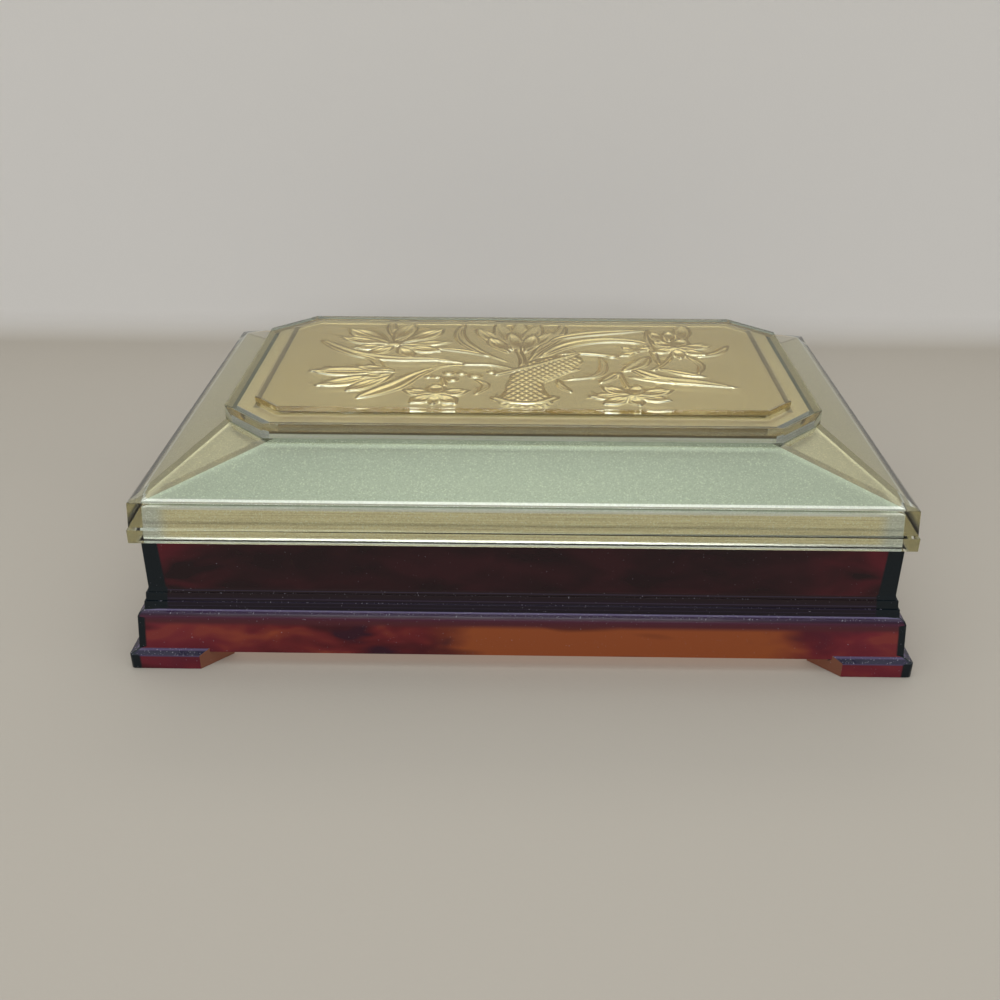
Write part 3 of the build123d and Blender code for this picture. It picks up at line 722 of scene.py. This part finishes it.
def makeTortoiseshell(s):
    material, add = newMaterial("tortoiseshell styrene, moulded")
    coords = add("TexCoord")
    place = coords.outputs["Object"]
    spot = add("SeparateXYZ", {"Vector": place})
    beside = add("SeparateXYZ", {
        "Vector": add("VectorMath", {0: place}, operation="ABSOLUTE").outputs[0]})
    facing = add("SeparateXYZ", {
        "Vector": add("VectorMath", {0: coords.outputs["Normal"]}, operation="ABSOLUTE").outputs[0]})
    # distance of a point from the end of the face it is on, in metres
    top = s["profileTop"]
    level = add("Math", {0: spot.outputs["Z"], 1: 1 / (top * mm)}, operation="MULTIPLY").outputs[0]
    profile = add("ValToRGB", {"Fac": level}, stops=[
        (height / top, grey((half - 90) / 10)) for height, half in s["profile"]])
    half = add("Math", {0: profile.outputs["Color"], 1: 10 * mm, 2: 90 * mm}, operation="MULTIPLY_ADD").outputs[0]
    endX = add("Math", {0: half, 1: beside.outputs["X"]}, operation="SUBTRACT").outputs[0]
    halfY = add("Math", {0: half, 1: s["depthLess"] * mm}, operation="SUBTRACT").outputs[0]
    endY = add("Math", {0: halfY, 1: beside.outputs["Y"]}, operation="SUBTRACT").outputs[0]
    front = add("Math", {0: facing.outputs["Y"], 1: facing.outputs["X"]}, operation="GREATER_THAN").outputs[0]
    end = add("Mix", {"Factor": front, "A": endY, "B": endX}).outputs["Result"]
    bandWidth = add("ValToRGB", {"Fac": level}, stops=[
        (height / top, grey(width / 10)) for height, width in s["bandWidths"]]).outputs["Color"]
    bandWidth = add("Math", {0: bandWidth, 1: 10 * mm}, operation="MULTIPLY").outputs[0]
    past = add("Math", {0: end, 1: bandWidth}, operation="SUBTRACT").outputs[0]
    band = add("MapRange", {
        "Value": past, "From Min": 0.0003, "From Max": -0.0002}).outputs["Result"]

    stretched = add("Mapping", {
        "Vector": place, "Scale": (1, 1, 2.2), "Location": (0.013, 0.02, 0.004)})
    marble = add("TexNoise", {
        "Vector": stretched.outputs[0], "Scale": s["marbleScale"], "Detail": 2, "Distortion": 0.4}).outputs["Fac"]
    cloud = add("MapRange", {"Value": marble, "From Min": 0.36, "From Max": 0.66}).outputs["Result"]
    drawn = add("Mapping", {"Vector": place, "Rotation": (0, 0.35, 0), "Scale": (0.6, 0.6, 3.2)})
    streak = add("TexNoise", {
        "Vector": drawn.outputs[0], "Scale": s["streakScale"], "Detail": 1, "Distortion": 0.2}).outputs["Fac"]
    streak = add("ValToRGB", {"Fac": streak}, stops=[
        (0.36, grey(0.7)), (0.44, [0, 0, 0, 1])]).outputs["Color"]

    wall = add("Mix", {"Factor": cloud, "A": linear(s["dark"]), "B": linear(s["wallRed"])}, data_type="RGBA")
    nearEnd = add("MapRange", {
        "Value": end, "From Min": 0.024, "From Max": 0.004}).outputs["Result"]
    nearEnd = add("Math", {0: nearEnd, 1: cloud}, operation="MULTIPLY").outputs[0]
    wall = add("Mix", {
        "Factor": nearEnd, "A": wall.outputs[2], "B": linear(s["endRed"])}, data_type="RGBA").outputs[2]
    # the skirt under the floor is hollow, so light comes through it, most in the middle of each side
    fromGlow = add("Math", {0: spot.outputs["X"], 1: s["glowPlace"] * mm}, operation="SUBTRACT").outputs[0]
    fromGlow = add("Math", {0: fromGlow}, operation="ABSOLUTE").outputs[0]
    glow = add("MapRange", {
        "Value": fromGlow, "From Min": s["glowOut"] * mm, "From Max": s["glowIn"] * mm},
        interpolation_type="SMOOTHSTEP").outputs["Result"]
    glow = add("Math", {0: cloud, 1: 0.35, 2: glow}, operation="MULTIPLY_ADD").outputs[0]
    glow = add("MapRange", {"Value": glow, "From Min": 0.3, "From Max": 0.95}).outputs["Result"]
    skirt = add("ValToRGB", {"Fac": marble}, stops=[
        (stop, linear(tone)) for stop, tone in s["clouds"]]).outputs["Color"]
    blush = add("MapRange", {
        "Value": end, "From Min": 0.034, "From Max": 0.01, "To Max": 0.6}).outputs["Result"]
    for share, part in ((blush, "blush"), (glow, "amber"), (streak, "streak")):
        skirt = add("Mix", {"Factor": share, "A": skirt, "B": linear(s[part])}, data_type="RGBA").outputs[2]
    # height ramps: the shaded top of the skirt, the steps over it and the ledge on each foot
    stepFrom, stepTo = s["steps"][0][0], s["steps"][-1][0]
    up = add("MapRange", {
        "Value": spot.outputs["Z"], "From Min": stepFrom * mm, "From Max": stepTo * mm}).outputs["Result"]
    steps = add("ValToRGB", {"Fac": up}, stops=[
        ((height - stepFrom) / (stepTo - stepFrom), linear(tone)) for height, tone in s["steps"]]).outputs["Color"]
    over = add("MapRange", {
        "Value": spot.outputs["Z"], "From Min": s["shadeFrom"] * mm, "From Max": s["shadeTo"] * mm},
        interpolation_type="SMOOTHSTEP").outputs["Result"]
    colour = add("Mix", {"Factor": over, "A": skirt, "B": steps}, data_type="RGBA").outputs[2]
    over = add("MapRange", {
        "Value": spot.outputs["Z"], "From Min": s["wallFrom"] * mm, "From Max": s["wallTo"] * mm}).outputs["Result"]
    colour = add("Mix", {"Factor": over, "A": colour, "B": wall}, data_type="RGBA").outputs[2]
    # the ledge on each foot, with painted highlight lines
    low, high = s["footLedge"][0][0], s["footLedge"][-1][0]
    up = add("MapRange", {
        "Value": spot.outputs["Z"], "From Min": low * mm, "From Max": high * mm}).outputs["Result"]
    footLedge = add("ValToRGB", {"Fac": up}, stops=[
        ((height - low) / (high - low), linear(tone)) for height, tone in s["footLedge"]]).outputs["Color"]
    onLedge = add("Math", {0: up, 1: 0.5, 2: 0.499}, operation="COMPARE").outputs[0]
    # only the feet stand out past the skirt
    proud = [add("Math", {0: beside.outputs[axis], 1: limit * mm}, operation="SUBTRACT").outputs[0]
             for axis, limit in s["proud"]]
    proud = add("Math", {0: proud[0], 1: proud[1]}, operation="MAXIMUM").outputs[0]
    proud = add("Math", {0: proud, 1: 0.0}, operation="GREATER_THAN").outputs[0]
    onLedge = add("Math", {0: onLedge, 1: proud}, operation="MULTIPLY").outputs[0]
    # the inner slanted faces of the feet, which get the painted orange light
    slant = add("Math", {0: facing.outputs["X"], 1: facing.outputs["Y"]}, operation="MULTIPLY")
    inFoot = add("Math", {0: slant.outputs[0], 1: 0.3}, operation="GREATER_THAN").outputs[0]

    specks = add("TexNoise", {"Vector": place, "Scale": s["speckScale"], "Detail": 1}).outputs["Fac"]
    ledge = add("MapRange", {
        "Value": facing.outputs["Z"], "From Min": 0.3, "From Max": 0.9, "To Min": 0.755,
        "To Max": 0.67}).outputs["Result"]
    dusty = add("Math", {0: specks, 1: ledge}, operation="SUBTRACT").outputs[0]
    dusty = add("MapRange", {"Value": dusty, "From Max": 0.05, "To Max": 0.8}).outputs["Result"]
    for share, tone in ((onLedge, footLedge), (inFoot, linear(s["innerFootLit"])), (band, linear(s["band"])),
                        (dusty, linear(s["dust"]))):
        colour = add("Mix", {"Factor": share, "A": colour, "B": tone}, data_type="RGBA").outputs[2]
    rough = add("MapRange", {
        "Value": dusty, "To Min": s["roughness"], "To Max": 0.7}).outputs["Result"]
    sink = add("TexNoise", {"Vector": place, "Scale": s["sinkScale"], "Detail": 1}).outputs["Fac"]
    wave = add("Bump", {"Height": sink, "Strength": 0.25, "Distance": 0.0004}).outputs["Normal"]
    shade = add("BsdfPrincipled", {
        "Base Color": colour, "Roughness": rough, "IOR": s["refraction"], "Specular IOR Level": s["shine"],
        "Normal": wave})
    add("OutputMaterial", {"Surface": shade.outputs["BSDF"]})
    return material


trayMaterial = makeTortoiseshell(tortoiseshell)
traySet = {"edgeRadius": 0.15}


def makeTray(s):
    tray = copyNode("base_tray")
    roundEdges(tray, s["edgeRadius"], segments=2, sharpest=30)
    finishPiece(tray, "tray_moulded", "base", trayMaterial, smoothAngle=40, weighted=True)
    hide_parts("base_tray")
    print("tray:", len(tray.data.polygons), "faces")


makeTray(traySet)

# hinge pins: drawn steel wire
steelWire = {"colour": "#b9b6b0", "roughness": 0.3, "drawPitch": 0.2}  # mm between drawing marks


def makeSteel(s):
    material, add = newMaterial("steel wire, drawn")
    place = add("TexCoord").outputs["Object"]
    lines = add("Mapping", {"Vector": place, "Scale": (0.02, 1, 1)}).outputs[0]
    marks = add("TexNoise", {"Vector": lines, "Scale": 1 / (s["drawPitch"] * mm)}).outputs["Fac"]
    rough = add("MapRange", {
        "Value": marks, "To Min": s["roughness"] - 0.1, "To Max": s["roughness"] + 0.15}).outputs["Result"]
    shade = add("BsdfPrincipled", {
        "Base Color": linear(s["colour"]), "Metallic": 1.0, "Roughness": rough})
    add("OutputMaterial", {"Surface": shade.outputs["BSDF"]})
    return material


steelMaterial = makeSteel(steelWire)
for name in ("hinge_pin_left", "hinge_pin_right"):
    nodes[name].data.materials.clear()
    nodes[name].data.materials.append(steelMaterial)

# velvet: short rayon pile, on the pad and the linings
velvet = {
    "deep": "#3d0a12", "crest": "#6e1622",
    "pileSpacing": 0.5,  # mm, coarser than the real 0.2 mm so that it shows
    "lieSize": 9,  # mm, patches where the pile lies another way
}


def makeVelvet(s):
    material, add = newMaterial("rayon velvet, short pile")
    place = add("TexCoord").outputs["Object"]
    pile = add("TexNoise", {
        "Vector": place, "Scale": 1 / (s["pileSpacing"] * mm), "Detail": 2}).outputs["Fac"]
    lie = add("TexNoise", {
        "Vector": place, "Scale": 1 / (s["lieSize"] * mm), "Distortion": 0.6}).outputs["Fac"]
    tone = add("Math", {0: pile, 1: lie}, operation="MULTIPLY").outputs[0]
    tone = add("MapRange", {"Value": tone, "From Min": 0.12, "From Max": 0.4}).outputs["Result"]
    colour = add("Mix", {"Factor": tone, "A": linear(s["deep"]), "B": linear(s["crest"])},
                 data_type="RGBA").outputs[2]
    nap = add("Bump", {"Height": pile, "Strength": 0.5, "Distance": 0.0002}).outputs["Normal"]
    shade = add("BsdfPrincipled", {
        "Base Color": colour, "Roughness": 0.9, "Sheen Weight": 0.6, "Sheen Roughness": 0.4,
        "Sheen Tint": linear("#e88a94"), "Specular IOR Level": 0.15, "Normal": nap})
    add("OutputMaterial", {"Surface": shade.outputs["BSDF"]})
    return material


velvetMaterial = makeVelvet(velvet)

# floor pad: foam in a velvet cover, swollen by a cloth simulation
padSet = {"thickness": 4.6, "inset": 0.9, "voxel": 2.5, "pressure": 4.0, "steps": 20, "mostSwell": 1.5}


def makePad(s):
    low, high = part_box("floor_pad")
    bpy.ops.object.select_all(action="DESELECT")
    bpy.ops.mesh.primitive_cube_add(size=1)
    pad = bpy.context.object
    pad.scale = (high.x - low.x - 2 * s["inset"] * mm, high.y - low.y - 2 * s["inset"] * mm, s["thickness"] * mm)
    pad.location = (0, 0, low.z + s["thickness"] * mm / 2)
    bpy.ops.object.transform_apply(location=True, rotation=True, scale=True)
    modify(pad, "BEVEL", width=1.6 * mm, segments=3)
    modify(pad, "REMESH", mode="VOXEL", voxel_size=s["voxel"] * mm)
    rest = np.zeros(len(pad.data.vertices) * 3)
    pad.data.vertices.foreach_get("co", rest)
    cloth = pad.modifiers.new("cloth", "CLOTH")
    cloth.settings.use_pressure = True
    cloth.settings.uniform_pressure_force = s["pressure"]
    cloth.settings.effector_weights.gravity = 0
    cloth.point_cache.frame_end = s["steps"]
    for step in range(1, s["steps"] + 1):
        bpy.context.scene.frame_set(step)
    only(pad)
    bpy.ops.object.modifier_apply(modifier="cloth")
    bpy.context.scene.frame_set(1)
    swollen = np.zeros(len(rest))
    pad.data.vertices.foreach_get("co", swollen)
    moved = (swollen - rest).reshape(-1, 3)
    length = np.linalg.norm(moved, axis=1, keepdims=True)
    moved *= np.minimum(1, s["mostSwell"] * mm / np.maximum(length, 1e-9))
    placed = rest.reshape(-1, 3) + moved
    placed[:, 2] = np.clip(placed[:, 2], low.z, high.z)
    placed[:, 0] = np.clip(placed[:, 0], low.x, high.x)
    placed[:, 1] = np.clip(placed[:, 1], low.y, high.y)
    pad.data.vertices.foreach_set("co", placed.ravel())
    modify(pad, "SUBSURF", levels=1, render_levels=1)
    finishPiece(pad, "velvet_pad", "base", velvetMaterial, smoothAngle=60)
    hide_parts("floor_pad")
    print("pad:", len(pad.data.polygons), "faces")


makePad(padSet)

# linings: velvet folded over card, a little proud in the middle of each strip
liningSet = {"cuts": 24, "edgeRadius": 0.35, "puff": 0.3}


def makeLining(node, s):
    low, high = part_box(node)
    middle, size = (low + high) / 2, high - low
    thin = 0 if size.x < size.y else 1  # the axis across the strip
    bpy.ops.object.select_all(action="DESELECT")
    bpy.ops.mesh.primitive_cube_add(size=1, location=middle)
    strip = bpy.context.object
    strip.scale = size
    bpy.ops.object.transform_apply(location=True, rotation=True, scale=True)
    modify(strip, "BEVEL", width=s["edgeRadius"] * mm, segments=3)
    bpy.ops.object.mode_set(mode="EDIT")
    bpy.ops.mesh.select_all(action="SELECT")
    bpy.ops.mesh.subdivide(number_cuts=s["cuts"])
    bpy.ops.object.mode_set(mode="OBJECT")
    inward = -1 if middle[thin] > 0 else 1
    for vertex in strip.data.vertices:
        near = [abs(vertex.co[i] - middle[i]) / (size[i] / 2) for i in (1 - thin, 2)]
        sunk = s["puff"] * mm * max(near[0] ** 8, near[1] ** 4)
        if (vertex.co[thin] - middle[thin]) * inward > 0:
            vertex.co[thin] -= inward * sunk
    finishPiece(strip, "velvet_" + node, "base", velvetMaterial, smoothAngle=50)
    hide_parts(node)


for node in ("front_lining", "rear_lining", "left_lining", "right_lining"):
    makeLining(node, liningSet)
print("linings made")
